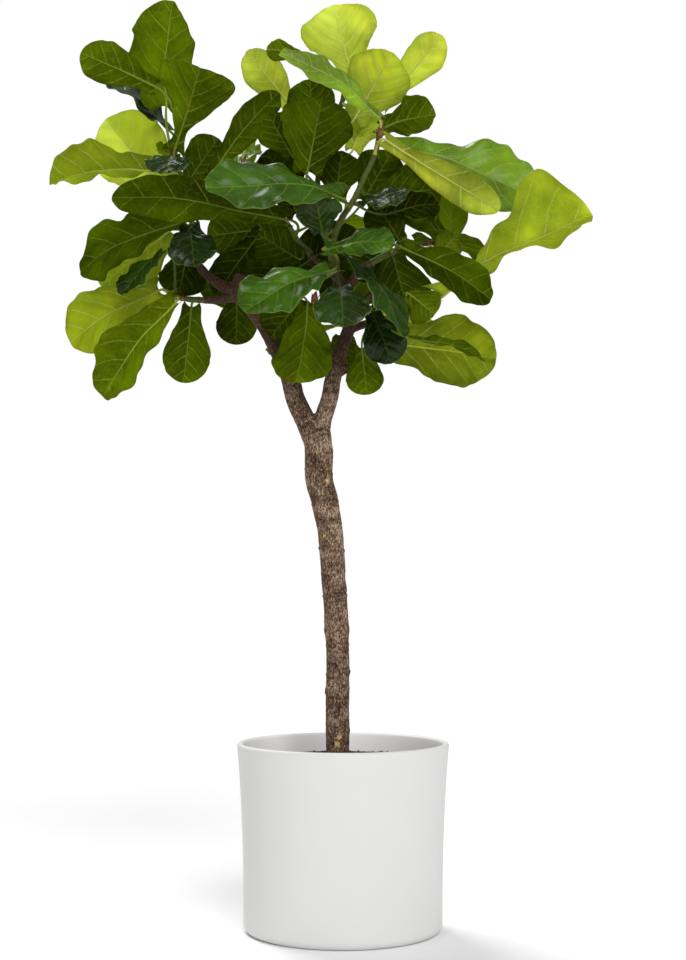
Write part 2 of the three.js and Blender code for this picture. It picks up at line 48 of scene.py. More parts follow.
POT = {
    "height": 350,
    "rim_radius": 200,
    "foot_radius": 186.5,  # of the side, carried straight down to the floor
    "flare": 2.4,  # power of the curve by which the side opens towards the rim
    "wall": 12,
    "floor": 18,
    "corner_radius": 15,
    "inner_corner_radius": 20,
    "steps_round": 160,
}
SOIL = {
    "edge_height": 312, "mound": 10, "depth": 40, "gap": 0.3,
    "lump": 2.5, "lump_scale": 45, "steps_round": 160, "rings": 46,
}
CHIPS = {"count": 420, "sizes": (2.0, 6.5), "spread": 176}

# ---- Wood: points on the axis of each limb, and its radius at each ----

TRUNK_FOOT = 150.3  # its height, down in the soil
LIMBS = {
    "trunk": (
        [
            (-10, 0, TRUNK_FOOT), (-10, 0, 330), (-10, 0, 430), (-10, 0, 525), (-15, 0, 615),
            (-20, 0, 695), (-25, 0, 750), (-35, 0, 805), (-45, 0, 845), (-46, 0, 895), (-50, 0, 935),
        ],
        [22, 22.3, 22, 22.5, 22, 22.5, 23, 23.5, 25, 27, 26],
    ),
    "left": (
        [
            (-50, 0, 905), (-70, 0, 955), (-90, 5, 1000), (-102, 10, 1045), (-125, 20, 1095),
            (-148, 28, 1140), (-175, 30, 1175), (-205, 25, 1210),
        ],
        [20, 20, 19, 18, 17, 16, 15, 15],
    ),
    "leftKnob": ([(-205, 25, 1200), (-201, 23, 1222), (-197, 22, 1243)], [15, 16, 11]),
    "leftTip": ([(-203, 25, 1208), (-235, 20, 1222), (-260, 20, 1240), (-280, 20, 1262)], [13, 11, 9, 8]),
    "leftLow": ([(-200, 25, 1200), (-240, 10, 1192), (-268, 0, 1190)], [9, 8, 7]),
    "right": (
        [
            (-48, 0, 905), (-40, 0, 955), (-26, 0, 1000), (-20, 0, 1035), (-12, 0, 1070), (-3, 0, 1100),
            (8, 0, 1125), (15, 0, 1152), (13, 0, 1187), (-3, 0, 1222), (-20, 0, 1255),
        ],
        [19, 18, 17, 16, 15, 14, 13, 12, 11, 9.5, 8],
    ),
    "rightStub": ([(-14, 0, 1046), (14, -5, 1061)], [9, 8]),
    "twig": ([(-20, 0, 1040), (-40, -5, 1088), (-58, -10, 1120), (-60, -20, 1148)], [6, 5, 4.5, 4.5]),
    "rightLow": ([(10, 0, 1133), (36, 10, 1143), (58, 16, 1151)], [10, 8, 7]),
    "rightUpper": ([(3, 0, 1205), (30, 0, 1243), (60, 0, 1265)], [8, 7, 6]),
    "top": ([(-5, 0, 1218), (-15, 30, 1265), (-25, 60, 1302)], [8, 7, 6.5]),
    "inner": ([(-12, 0, 1232), (-45, 15, 1262), (-68, 18, 1288)], [7, 5.5, 5]),
    "backLeft": ([(-172, 28, 1175), (-180, 70, 1208), (-186, 110, 1248)], [10, 8, 6.5]),
    "backRight": ([(12, 0, 1155), (40, 45, 1190), (65, 80, 1227)], [9, 7, 6]),
    "backLow": ([(-8, 0, 1082), (0, 40, 1104), (5, 75, 1126)], [8, 6, 5]),
}
WOOD = {"step": 5, "sides": 24, "voxel": 2.2, "slim_above": 1130, "slim_relief": 0.45}

# Where old leaves have left a scar round the trunk: height, tilt of the ring, depth.
RINGS = [
    (372, 0.1, 0.5), (412, -0.12, 0.5), (447, 0.2, 0.8), (482, 0.15, 0.9), (534, 0.1, 0.9),
    (580, -0.15, 0.5), (629, 0.05, 1.6), (672, 0.12, 0.5), (718, -0.1, 1.6), (765, 0.1, 0.6),
    (806, 0.15, 0.8), (862, -0.2, 1.0),
]
# Knots and bumps on the wood: place, reach, height.
KNOTS = [
    ((-34, -10, 447), 7, 3.5), ((12, -10, 483), 9, 2.5), ((14, -6, 560), 8, 1.5),
    ((-30, -16, 718), 9, 1.5), ((-26, -22, 850), 10, 1.5), ((-44, -24, 846), 8, 1.2),
    ((-16, -10, 900), 8, 2.0), ((-60, -20, 880), 12, 1.5), ((10, -8, 372), 7, 1.5),
    ((13, -4, 640), 8, 1.5), ((-34, -4, 560), 7, 1.0),
]
# Small bare flecks where the bark has chipped off: place, reach.
FLECKS = [((-36.6, -22, 738), 4), ((-11, -22, 348), 6), ((-7, -22, 362), 5), ((-30, -22, 842), 4)]

# ---- Leafy shoots. A stem goes on from the end of its limb. A leaf has the base and the tip of its blade,
# the way its upper face looks, its width and its tone from 0 (deep green) to 1 (bright lime), and may have
# the values of COMMON_FORM for itself. The tone is partly the leaf's own colour and partly painted light and
# shade: low for leaves deep in the crown, high for leaves lit from behind. A shoot with a count has that
# many more leaves, spread by a rule ----

BACKWARD = (0, 1, 0.2)  # and a little upward, as many of the hidden blades face

SHOOTS = {
    "upper_left": {
        "limb": "leftTip",
        "stem": [(-280, 10, 1310), (-295, 0, 1355), (-305, 0, 1405), (-315, 0, 1440), (-325, 0, 1465)],
        "leaves": [
            ((-346, 50, 1580), (-337, 80, 1800), (-0.6, 0.8, 0.1), 146, 0.47, 0.3, 0.08, 1.15),
            ((-364, 2, 1606), (-500, -40, 1658), (0, 1, 0.45), 84, 0.4, 0.3),
            ((-322, -20, 1475), (-266, -110, 1608), (0.1, 0.9, 0.6), 152, 0.38, 0.42, 0.08, 3.4),
            ((-345, 70, 1540), (-480, 110, 1650), (0.3, -0.35, 0.9), 110, 0.2),
            ((-350, 110, 1418), (-473, 120, 1573), (0, 1, 0.1), 156, 0.92),
            ((-370, -10, 1438), (-554, -60, 1404), (0, 0.45, 0.9), 122, 0.68, 0.6),
            ((-325, -52, 1454), (-322, -146, 1400), (0, -0.45, 0.9), 88, 0.1),
            ((-320, 20, 1465), (-365, 60, 1495), (0, 0.6, 0.8), 50, 0.5),
            ((-308, 76, 1432), (-246, 86, 1526), (0, 0.9, 0.4), 86, 0.25),
            ((-300, -30, 1337), (-487, -100, 1225), (-0.2, 0.5, 0.85), 132, 0.36, 0.25),
            ((-335, 30, 1330), (-470, 40, 1225), BACKWARD, 130, 0.62),
            ((-290, -40, 1325), (-275, -110, 1235), (0, -0.8, 0.5), 95, 0.05),
            ((-255, 60, 1450), (-125, 60, 1610), (-0.5, 0.8, 0.3), 70, 0.35),
            ((-300, 34, 1298), (-318, 30, 1204), (0, 0.9, 0.2), 92, 0.15),
        ],
    },
    "lower_left": {
        "limb": "leftLow",
        "stem": [(-295, -10, 1190), (-320, -20, 1192)],
        "leaves": [
            ((-335, -74, 1268), (-408, -112, 1180), (-0.3, -0.5, 0.8), 78, 0.1),
            ((-350, -20, 1205), (-512, -60, 1100), (-0.35, 0.75, 0.6), 130, 0.7, 0.3),
            ((-314, -60, 1176), (-440, -110, 991), (-0.7, 0.6, 0.35), 120, 0.5, 0.45),
            ((-292, 20, 1180), (-308, 30, 1034), (0, 1, 0.1), 92, 0.32),
        ],
    },
    "fork": {
        "limb": "twig",
        "stem": [(-60, -30, 1160), (-55, -45, 1180)],
        "leaves": [
            ((-66, -50, 1175), (-88, -80, 1022), (0.25, 0.9, 0.1), 116, 0.45, 0.3),
            ((-80, -15, 1190), (-137, -20, 1116), BACKWARD, 90, 0.25),
        ],
    },
    "centre": {
        "limb": "right",
        "stem": [
            (-20, -40, 1290), (-5, -60, 1330), (20, -60, 1370),
            (40, -50, 1415), (60, -40, 1460), (70, -40, 1505),
        ],
        "leaves": [
            ((-20, -90, 1231), (-178, -190, 1137), (-0.1, -0.75, 0.65), 122, 0.4),
            ((-5, -80, 1200), (0, -190, 1110), (0, -0.7, 0.7), 105, 0.1),
            ((10, -60, 1260), (110, -140, 1100), (0.5, -0.35, 0.8), 100, 0.15),
            ((-30, -90, 1270), (95, -150, 1270), (0, -0.8, 0.55), 75, 0.4),
            ((-40, -80, 1305), (-50, -130, 1360), (0, -1, 0.2), 90, 0.15),
            ((0, -72, 1370), (-248, -198, 1361), (-0.1, -0.84, 0.54), 136, 0.38),
            ((65, 20, 1395), (190, 30, 1412), (0, 1, 0.3), 118, 0.3),
            ((85, -30, 1350), (180, -70, 1360), (0, 0.6, 0.8), 70, 0.05),
            ((35, -70, 1365), (115, -120, 1355), (0, -0.7, 0.7), 82, 0.05),
            ((80, -70, 1482), (288, -130, 1337), (-0.4, 0.8, 0.4), 68, 0.8, 0.12, 0.12),
            ((104, 30, 1492), (370, 30, 1394), (0.2, -0.9, 0.4), 164, 0.65, 0.15, 0.08, 2.2),
            ((65, -50, 1532), (-118, -100, 1640), (0.35, -0.75, 0.6), 84, 0.75),
            ((74, 30, 1530), (182, 60, 1566), (0, 0.7, 0.7), 88, 0.35, 0.45),
        ],
    },
    "top": {
        "limb": "top",
        "stem": [(-50, 80, 1370), (-50, 100, 1445), (-30, 110, 1520), (-10, 110, 1580), (5, 110, 1630)],
        "leaves": [
            ((-68, -20, 1434), (-40, -60, 1565), (0, 0.9, 0.35), 142, 0.32, 0.4),
            ((-60, 60, 1525), (-65, 70, 1640), BACKWARD, 95, 0.22),
            ((-100, 30, 1480), (-145, 30, 1556), (0, 1, 0.3), 82, 0.3),
            ((-104, 130, 1602), (-195, 170, 1728), BACKWARD, 82, 0.83),
            ((18, 130, 1665), (-20, 150, 1815), (0, 1, 0.1), 160, 0.92, 0.15, 0.08, 2.2),
            ((22, 80, 1562), (98, 80, 1696), (0, 1, 0.1), 126, 0.78, 0.25),
            ((82, 120, 1602), (198, 115, 1742), BACKWARD, 78, 0.84, 0.2, 0.08, 2.3),
            ((-84, 70, 1688), (-150, 55, 1695), (0, 0.8, 0.6), 45, 0.5),
            ((20, 90, 1505), (52, 110, 1600), (0, 1, 0), 86, 0.8),
            ((40, 43, 1392), (95, 59, 1492), BACKWARD, 98, 0.25),
            ((-90, 60, 1372), (-150, 80, 1502), BACKWARD, 105, 0.1),
        ],
    },
    "right": {
        "limb": "rightLow",
        "stem": [(105, 28, 1162), (140, 22, 1172), (168, 20, 1190)],
        "leaves": [
            ((190, 15, 1198), (470, -60, 1341), (0.3, 0.25, 0.95), 205, 0.75, 0.55, 0.08, 3.3),
            ((126, -12, 1200), (174, -25, 1158), BACKWARD, 76, 0.5),
            ((100, -30, 1101), (285, -80, 1067), (0.1, 0.95, 0.25), 134, 0.6, 0.25, 0.08, 1.3),
            ((125, -85, 1105), (262, -134, 1055), (0, 0.3, 0.95), 60, 0.35),
            ((55, -40, 1160), (90, -60, 1060), (0, -0.9, 0.4), 85, 0.05),
            ((36, -24, 1095), (45, -24, 1005), (0, 1, 0.1), 70, 0.4),
        ],
    },
    "right_upper": {
        "limb": "rightUpper",
        "stem": [(100, 0, 1285), (140, 10, 1300), (175, 20, 1305)],
        "leaves": [
            ((110, -70, 1278), (272, -130, 1170), (-0.2, 0.7, 0.7), 88, 0.3, 0.3),
            ((95, 42, 1290), (125, 46, 1180), BACKWARD, 115, 0.2),
            ((208, 60, 1292), (218, 62, 1434), (-0.2, 1, 0.1), 74, 0.55),
            ((188, 62, 1330), (122, 82, 1414), BACKWARD, 76, 0.3),
            ((180, 0, 1275), (215, -20, 1310), BACKWARD, 60, 0.55),
            ((92, 84, 1300), (12, 98, 1266), BACKWARD, 80, 0.1),
            ((108, 46, 1316), (64, 74, 1398), BACKWARD, 88, 0.15),
        ],
    },
    "inner": {
        "limb": "inner",
        "stem": [(-85, 20, 1305), (-100, 20, 1330), (-115, 25, 1350)],
        "leaves": [
            ((-110, -80, 1330), (-420, -174, 1350), (0, 0.8, 0.6), 90, 0.25, 0.2),
            ((-160, 44, 1330), (-247, 48, 1207), (0, 0.9, 0.4), 82, 0.1),
            ((-105, 42, 1290), (-177, 52, 1220), (0, 0.9, 0.4), 83, 0.1),
            ((-150, 88, 1345), (-270, 112, 1335), (0, 0.9, 0.3), 96, 0.2),
            ((-85, 10, 1272), (-165, 26, 1322), BACKWARD, 92, 0.1),
            ((-14, 28, 1395), (-2, 42, 1490), (0, 1, 0.1), 92, 0.15),
            ((-95, 84, 1262), (-8, 96, 1325), BACKWARD, 100, 0.05),
        ],
    },
    "back_left": {
        "limb": "backLeft",
        "stem": [(-198, 142, 1300), (-215, 172, 1380), (-215, 190, 1450), (-205, 200, 1500)],
        "count": 6,
        "bearing": 105,
        "fan": 70,
        "length": (215, 150),
        "rise": (-12, 45),
        "leaves": [
            ((-210, 100, 1221), (-212, 120, 1120), BACKWARD, 82, 0.2),
        ],
    },
    "back_right": {
        "limb": "backRight",
        "stem": [(92, 115, 1275), (115, 150, 1340), (125, 175, 1410), (120, 185, 1460)],
        "count": 6,
        "bearing": 75,
        "fan": 60,
        "length": (210, 150),
        "rise": (-30, 20),
    },
    "back_low": {
        "limb": "backLow",
        "stem": [(10, 110, 1150), (10, 140, 1180)],
        "count": 3,
        "bearing": 95,
        "fan": 75,
        "length": (170, 157),
        "rise": (-20, -12),
        "leaves": [
            ((-16, 162, 1210), (-28, 124, 1370), (0, 1, -0.2), 135, 0.12),
        ],
    },
}
GOLDEN_ANGLE = 137.5
COMMON_FORM = (0.15, 0.08, 1.7)  # fold, arch, and the power that sets where it is broadest
BACK_LEAF = {
    "petiole": 35, "width_of_length": 0.62, "droop": 28,
    "first_height": 0.12, "facing": 75, "tones": (0.15, 0.75),
}

STEM = {"radii": [6.5, 5.5, 4.5], "sunk": 8, "step": 3, "sides": 12, "node_spacing": 17, "node_swell": 0.14}
BUD = {"length": 26, "radii": [4.5, 5.6, 5.2, 3.6, 0.6], "sunk": 3, "steps": 12, "sides": 12}
STIPULE = {
    "count": 4, "length": 24, "lowest": 2, "spacing": 7, "off_axis": 5.2,
    "half_angle": 1.1, "taper": 1.6, "thickness": 0.5,
}
PETIOLE = {
    "radii": [3.0, 2.4], "first_root": 8, "below": 25, "in_line": 0.4,
    "steps": 14, "sides": 10, "collars": (1.6, 1.25),
}
MIDRIB = {"end": 0.93, "end_radius": 0.35, "taper": 0.7, "sinks_by": 0.12, "steps": 26, "sunk": 0.15}

BLADE = {
    "thickness": 0.8,
    "quad": 4.5,
    "quick_quad": 7.5,
    "lobe_set_back": 0.07,  # of the length, by which the two lobes at the base reach behind it
    "edge_droop": 0.05,  # of the width
    "wave": 0.055,  # of the width
    "waves_per_side": 2.4,
    "wave_shift": 2.0,  # of the waves on one side against the other's, in radians
    "phase_step": 2.4,  # of the waves from leaf to leaf, in radians
    "seed_step": 3.7,
    "ripple": 0.026,  # of the width
    "ripples_per_side": 5.3,
    "midrib_round": 6,
    "quilt": 3.2,
    "uneven_edge": 0.09,  # of the half width
    "tip_flat": 24,  # power by which the waves die away at the tip
    "bend": 0.04,  # of the length, by which the whole blade is uneven
}
OUTLINE = {"bluntness": 0.5, "lobes": 0.32, "lobe_reach": 0.13}
# The side veins: their spacing along the midrib, and their lines out to the edge, in leaf lengths.
VEINS = {"spacing": 0.19, "slant": 0.7, "curl": 1.0, "stagger": 0.35}

# ---- Small helpers ----


def mm(point):
    return Vector(point) * MM


def lerp(a, b, share):
    return a + (b - a) * share


def along(values, share):
    """A value that runs evenly through a list, at a share of the way along it."""
    place = min(max(share, 0), 1) * (len(values) - 1)
    before = min(int(place), len(values) - 2)
    return lerp(values[before], values[before + 1], place - before)


def smooth_path(points, step):
    """Places about a step apart along a smooth curve through points: a centripetal Catmull-Rom."""
    knots = [2 * points[0] - points[1], *points, 2 * points[-1] - points[-2]]
    dense = [points[0]]
    for before, start, end, after in zip(knots, knots[1:], knots[2:], knots[3:]):
        gaps = [(b - a).length ** 0.5 for a, b in ((before, start), (start, end), (end, after))]
        leave = (start - before) / gaps[0] - (end - before) / (gaps[0] + gaps[1]) + (end - start) / gaps[1]
        arrive = (end - start) / gaps[1] - (after - start) / (gaps[1] + gaps[2]) + (after - end) / gaps[2]
        for i in range(1, 25):
            t = i / 24
            dense.append(
                start * (2 * t**3 - 3 * t**2 + 1)
                + leave * gaps[1] * (t**3 - 2 * t**2 + t)
                + end * (3 * t**2 - 2 * t**3)
                + arrive * gaps[1] * (t**3 - t**2)
            )
    return resampled(dense, step)


def resampled(path, step):
    lengths = [0.0]
    for a, b in zip(path, path[1:]):
        lengths.append(lengths[-1] + (b - a).length)
    count = max(2, round(lengths[-1] / step))
    places, at = [], 0
    for i in range(count + 1):
        wanted = lengths[-1] * i / count
        while at < len(path) - 2 and lengths[at + 1] < wanted:
            at += 1
        share = (wanted - lengths[at]) / max(lengths[at + 1] - lengths[at], 1e-9)
        places.append(path[at].lerp(path[at + 1], min(share, 1)))
    return places


def add_tube(bm, path, radii, sides):
    """A closed round tube: a ring drawn out along a path, with the radius at each place."""
    tangents = [(b - a).normalized() for a, b in zip(path, path[1:])]
    tangents = [tangents[0]] + [(a + b).normalized() for a, b in zip(tangents, tangents[1:])] + [tangents[-1]]
    turn = Vector((0, 0, 1)).rotation_difference(tangents[0])
    ring = bmesh.ops.create_circle(bm, cap_ends=True, segments=sides, radius=radii[0])["verts"]
    made = list(ring)
    for v in ring:
        v.co = path[0] + turn @ v.co
    edges = [e for e in {e for v in ring for e in v.link_edges} if len(e.link_faces) == 1]
    for i in range(1, len(path)):
        grown = bmesh.ops.extrude_edge_only(bm, edges=edges)["geom"]
        edges = [e for e in grown if isinstance(e, bmesh.types.BMEdge) and len(e.link_faces) == 1]
        ring = [v for v in grown if isinstance(v, bmesh.types.BMVert)]
        bend = tangents[i - 1].rotation_difference(tangents[i])
        growth = radii[i] / radii[i - 1]
        for v in ring:
            v.co = path[i] + bend @ (v.co - path[i - 1]) * growth
        made += ring
    bmesh.ops.edgeloop_fill(bm, edges=edges)
    return made


def face_outward(bm, faces):
    bmesh.ops.recalc_face_normals(bm, faces=faces)


def finish_mesh(bm, name, material, smooth=True):
    mesh = bpy.data.meshes.new(name)
    bm.to_mesh(mesh)
    bm.free()
    mesh.materials.append(material)
    for polygon in mesh.polygons:
        polygon.use_smooth = smooth
    piece = bpy.data.objects.new(name, mesh)
    scene.collection.objects.link(piece)
    return piece


def add_piece(bm, name, material, slot, *nodes, smooth=True):
    """Makes a piece of the plant: it rides on the one body, and the CAD nodes named are hidden in its place.
    """
    piece = finish_mesh(bm, name, material, smooth)
    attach(piece, "root")
    if nodes:
        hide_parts(*nodes)


# ---- Finishes ----


class Value:
    """A value in a finish's node tree, so that its maths reads as a plain expression."""

    def __init__(self, finish, socket):
        self.finish = finish
        self.socket = socket

    def maths(self, operation, *values, clamp=False):
        settings = {"operation": operation, "use_clamp": clamp}
        return self.finish.add("ShaderNodeMath", settings, dict(enumerate(values)))

    def __add__(self, other):
        return self.maths("ADD", self, other)

    def __radd__(self, other):
        return self.maths("ADD", other, self)

    def __sub__(self, other):
        return self.maths("SUBTRACT", self, other)

    def __rsub__(self, other):
        return self.maths("SUBTRACT", other, self)

    def __mul__(self, other):
        return self.maths("MULTIPLY", self, other)

    def __rmul__(self, other):
        return self.maths("MULTIPLY", other, self)

    def __truediv__(self, other):
        return self.maths("DIVIDE", self, other)

    def __rtruediv__(self, other):
        return self.maths("DIVIDE", other, self)

    def __abs__(self):
        return self.maths("ABSOLUTE", self)

    def fraction(self):
        return self.maths("FRACT", self)

    def sign(self):
        return self.maths("SIGN", self)

    def sine(self):
        return self.maths("SINE", self)

    def part(self, axis):
        """A vector's number along an axis: 0, 1 or 2."""
        return self.finish.add("ShaderNodeSeparateXYZ", {}, {0: self}, axis)

    def clamped(self):
        return self.maths("ADD", self, 0.0, clamp=True)

    def rising(self, low, high):
        """0 below low, 1 above high, and a soft step between them."""
        inputs = {"Value": self, "From Min": low, "From Max": high}
        return self.finish.add("ShaderNodeMapRange", {"interpolation_type": "SMOOTHSTEP"}, inputs)

    def scaled(self, factor):
        """A vector or colour times a number, or times a factor for each of its three."""
        if isinstance(factor, tuple):
            return self.finish.add("ShaderNodeVectorMath", {"operation": "MULTIPLY"}, {0: self, 1: factor})
        return self.finish.add("ShaderNodeVectorMath", {"operation": "SCALE"}, {0: self, "Scale": factor})

    def moved(self, shift):
        return self.finish.add("ShaderNodeVectorMath", {"operation": "ADD"}, {0: self, 1: shift})


class Finish:
    """A material, and one way to add a node to it."""

    def __init__(self, name):
        self.material = bpy.data.materials.new(name)
        self.material.use_nodes = True
        self.nodes = self.material.node_tree.nodes
        self.links = self.material.node_tree.links
        self.nodes.clear()

    def add(self, kind, settings, inputs, output=0):
        node = self.nodes.new(kind)
        for name, value in settings.items():
            setattr(node, name, value)
        for name, value in inputs.items():
            socket = node.inputs[name]
            if isinstance(value, Value):
                self.links.new(value.socket, socket)
            else:
                socket.default_value = value
        return Value(self, node.outputs[output])

    def attribute(self, name):
        return self.add("ShaderNodeAttribute", {"attribute_name": name}, {}, "Fac")

    def noise(self, coordinates, scale, detail=4.0, roughness=0.55):
        inputs = {"Vector": coordinates, "Scale": scale, "Detail": detail, "Roughness": roughness}
        return self.add("ShaderNodeTexNoise", {}, inputs, "Fac")

    def cells(self, coordinates, scale, feature="F1"):
        inputs = {"Vector": coordinates, "Scale": scale}
        return self.add("ShaderNodeTexVoronoi", {"feature": feature}, inputs, "Distance")

    def mix(self, share, first, second):
        """A colour between two, each a node's or a plain red, green and blue."""
        first, second = (c if isinstance(c, Value) else (*c, 1.0) for c in (first, second))
        settings = {"data_type": "RGBA", "clamp_factor": True}
        return self.add("ShaderNodeMix", settings, {0: share, 6: first, 7: second}, 2)

    def ramp(self, value, colours):
        """Runs through a list of colours as the value goes from 0 to 1."""
        found = colours[0]
        for i, colour in enumerate(colours[1:]):
            share = (value * (len(colours) - 1) - i).clamped()
            found = self.mix(share, found, colour)
        return found

    def bump(self, height, strength, distance):
        return self.add("ShaderNodeBump", {}, {"Height": height, "Strength": strength, "Distance": distance})

    def skin(self, colour, roughness, normal, specular):
        """A surface that reflects light. The specular level is a plain number."""
        inputs = {"Base Color": colour, "Roughness": roughness, "Normal": normal}
        inputs["Specular IOR Level"] = specular
        return self.add("ShaderNodeBsdfPrincipled", {}, inputs)

    def glow(self, colour):
        """A surface that lets light through. Its colour is a plain one."""
        return self.add("ShaderNodeBsdfTranslucent", {}, {"Color": (*colour, 1.0)})

    def blend(self, share, first, second):
        return self.add("ShaderNodeMixShader", {}, {0: share, 1: first, 2: second})

    def made_of(self, shader):
        output = self.nodes.new("ShaderNodeOutputMaterial")
        self.links.new(shader.socket, output.inputs["Surface"])
        return self.material

    def surface(self, colour, roughness, normal, specular):
        return self.made_of(self.skin(colour, roughness, normal, specular))

    def grained(self, colour, grain, light, roughness, relief, specular):
        """A surface whose fine grain shades its colour, from a least light up, and stands out a little."""
        colour = colour.scaled(light[0] + grain * light[1])
        return self.surface(colour, roughness, self.bump(grain, *relief), specular)


def new_finish(name, coordinates="Object"):
    """A finish, and the place on the piece."""
    finish = Finish(name)
    return finish, finish.add("ShaderNodeTexCoord", {}, {}, coordinates)


def leaf_finish():
    """Matte and paler below, glossy above. The bright young leaves let most of the light through."""
    finish, place = new_finish("fig leaf", "UV")
    lengthways, sideways = place.part(0), place.part(1)
    size, tone, top, rim, seed = (finish.attribute(name) for name in ("size", "tone", "top", "rim", "seed"))
    here = place.scaled(size).moved(finish.add("ShaderNodeCombineXYZ", {}, {2: seed}))

    away = abs(sideways)
    patches = finish.noise(here, 12.0, 3.0)
    flecks = finish.noise(here, 160.0, 3.0, 0.6)
    wobble = (finish.noise(here, 45.0, 2.0) - 0.5) * 0.02 + (finish.noise(here, 9.0, 1.0) - 0.5) * 0.09
    side = sideways.sign() * (0.5 * VEINS["stagger"])
    line = lengthways - away * VEINS["slant"] - away * away * VEINS["curl"] + wobble
    line = line / VEINS["spacing"] + side
    between = abs(line.fraction() - 0.5)
    lateral = 1.0 - (between * (VEINS["spacing"] * 0.8) * size / (0.0019 - away * 0.0028)).rising(0.25, 1.0)
    lateral = lateral * (1.0 - rim.rising(0.88, 0.99)) * (0.45 + flecks.rising(0.35, 0.6) * 0.55)
    midrib = 1.0 - (away * size / (0.0028 - lengthways * 0.002)).rising(0.45, 1.0)
    net = 1.0 - finish.cells(here.scaled((1.0, 1.25, 1.0)), 75.0, "DISTANCE_TO_EDGE").rising(0.01, 0.08)
    mesh = 1.0 - finish.cells(here, 260.0, "DISTANCE_TO_EDGE").rising(0.02, 0.14)

    face = finish.mix(top, finish.ramp(tone, UNDERSIDE), finish.ramp(tone, UPPER_SIDE))
    # Painted light and shade: the large soft patches make parts of the blade lighter and others darker; the
    # fine flecks are the leaf's own.
    face = face.scaled(patches * 2.6 + flecks * 0.2 - 0.38)
    yellower = face.scaled((1.35, 1.16, 0.7))
    face = finish.mix(finish.noise(here, 7.0, 2.0).rising(0.42, 0.66) * 0.8, face, yellower)
    # Painted light and shade on the quilting: lighter on the swells between the side veins, darker along the
    # sunken veins.
    face = face.scaled(1.08 - (0.5 - between) * 0.36)
    # Painted light on the fold: one half of each blade lighter and the other darker, by an amount set by the
    # leaf's seed.
    painted_fold_light = (seed * 5.0).sine() * sideways.sign() * away.rising(0.0, 0.03)
    face = face.scaled(1.0 + painted_fold_light * 0.24)
    # Painted shade: darker towards the base of the blade, near the stem, and lighter towards the tip.
    face = face.scaled(0.84 + lengthways * 0.3)
    # Painted light and shade near the edge: lighter there on the deepest green leaves, darker on the others;
    # the thin darker rim of the bright leaves is partly their own darker edge and partly painted shade where
    # it curls.
    light = 1.0 - rim.rising(0.6, 1.0) * (tone * 0.5 - 0.1) - rim.rising(0.95, 0.99) * 0.15 * tone
    face = face.scaled(light)
    pale = finish.mix(top, (0.46, 0.52, 0.06), (0.33, 0.48, 0.06))
    pale = finish.mix((tone - 0.5) * 2.0, pale, (0.98, 0.96, 0.42))
    vein_colour = finish.mix(0.1 + tone * 0.58, face, pale)
    coloured = finish.mix(net * 0.22 + mesh * 0.08 + lateral * 0.9, face, vein_colour)
    coloured = finish.mix(midrib * 0.95, coloured, vein_colour)
    coloured = finish.mix(rim.rising(0.965, 1.0) * 0.45 * top, coloured, pale)

    ribs = midrib + lateral * 0.9 + net * 0.25 + mesh * 0.07
    normal = finish.bump(ribs * (1.0 - top * 1.6) + flecks * 0.12, 0.6, 0.0012)
    below = finish.skin(coloured, 0.68 + flecks * 0.1, normal, 0.0)
    above = finish.skin(coloured, 0.18 + flecks * 0.08 + patches * 0.12, normal, 0.2)
    skin = finish.blend(top, below, above)
    return finish.made_of(finish.blend(0.02 + tone * tone * 0.62, skin, finish.glow(LIGHT_THROUGH)))


# Linear colours of the blade from the deepest green to the brightest lime. The darkest hold painted shade for
# leaves deep in the crown, and the brightest hold painted light for leaves lit from behind.
UNDERSIDE = [
    (0.003, 0.006, 0.0), (0.026, 0.049, 0.0), (0.084, 0.137, 0.0), (0.26, 0.32, 0.012), (0.8, 0.78, 0.16),
]
UPPER_SIDE = [
    (0.003, 0.013, 0.001), (0.012, 0.044, 0.001), (0.036, 0.12, 0.001),
    (0.13, 0.26, 0.008), (0.36, 0.46, 0.05),
]
LIGHT_THROUGH = (0.82, 0.97, 0.12)


def bark_finish():
    finish, here = new_finish("fig bark")
    height = here.part(2)
    grain = here.scaled((1.0, 1.0, 0.5))
    streaks = finish.noise(grain, 300.0, 6.0, 0.75)
    blotches = finish.noise(here.scaled((1.0, 1.0, 0.7)), 30.0, 5.0, 0.65)
    bands = finish.noise(here.scaled((0.5, 0.5, 1.0)), 40.0, 5.0, 0.75)
    specks = finish.cells(here.scaled((1.0, 1.0, 0.55)), 420.0)
    pits = finish.noise(grain, 520.0, 3.0, 0.6)
    groove = finish.attribute("groove")
    bare = finish.attribute("bare")
    shade = (streaks - 0.5) * 4.2 + 0.5 + (blotches - 0.5) * 1.5 + (bands - 0.5) * 1.9
    colour = finish.ramp(shade.clamped(), BARK)
    colour = finish.mix((blotches - 0.42) * 1.9, colour, colour.scaled(0.66))
    colour = finish.mix((1.0 - specks.rising(0.1, 0.4)) * 0.5, colour, (0.52, 0.42, 0.31))
    colour = finish.mix((pits - 0.52) * 7.0, colour, (0.028, 0.016, 0.009))
    # Darker in the grooves of the leaf scars and round the knots: partly the scars' own colour, partly
    # painted shade in the grooves.
    colour = finish.mix(groove * 0.8, colour, (0.03, 0.018, 0.012))
    # Painted shade: the limbs up in the crown, above about 0.95 m, are darkened towards a deep brown for the
    # shade of the leaves.
    colour = finish.mix(height.rising(0.95, 1.12) * 0.84, colour, (0.045, 0.022, 0.013))
    colour = finish.mix(bare, colour, (0.62, 0.42, 0.17))
    relief = streaks * 0.6 + specks * 0.25 + pits * 0.3
    normal = finish.bump(relief, 0.8, 0.0016)
    return finish.surface(colour, 0.72 + streaks * 0.2, normal, 0.12)


BARK = [(0.03, 0.015, 0.009), (0.1, 0.056, 0.033), (0.22, 0.137, 0.086), (0.48, 0.35, 0.25)]


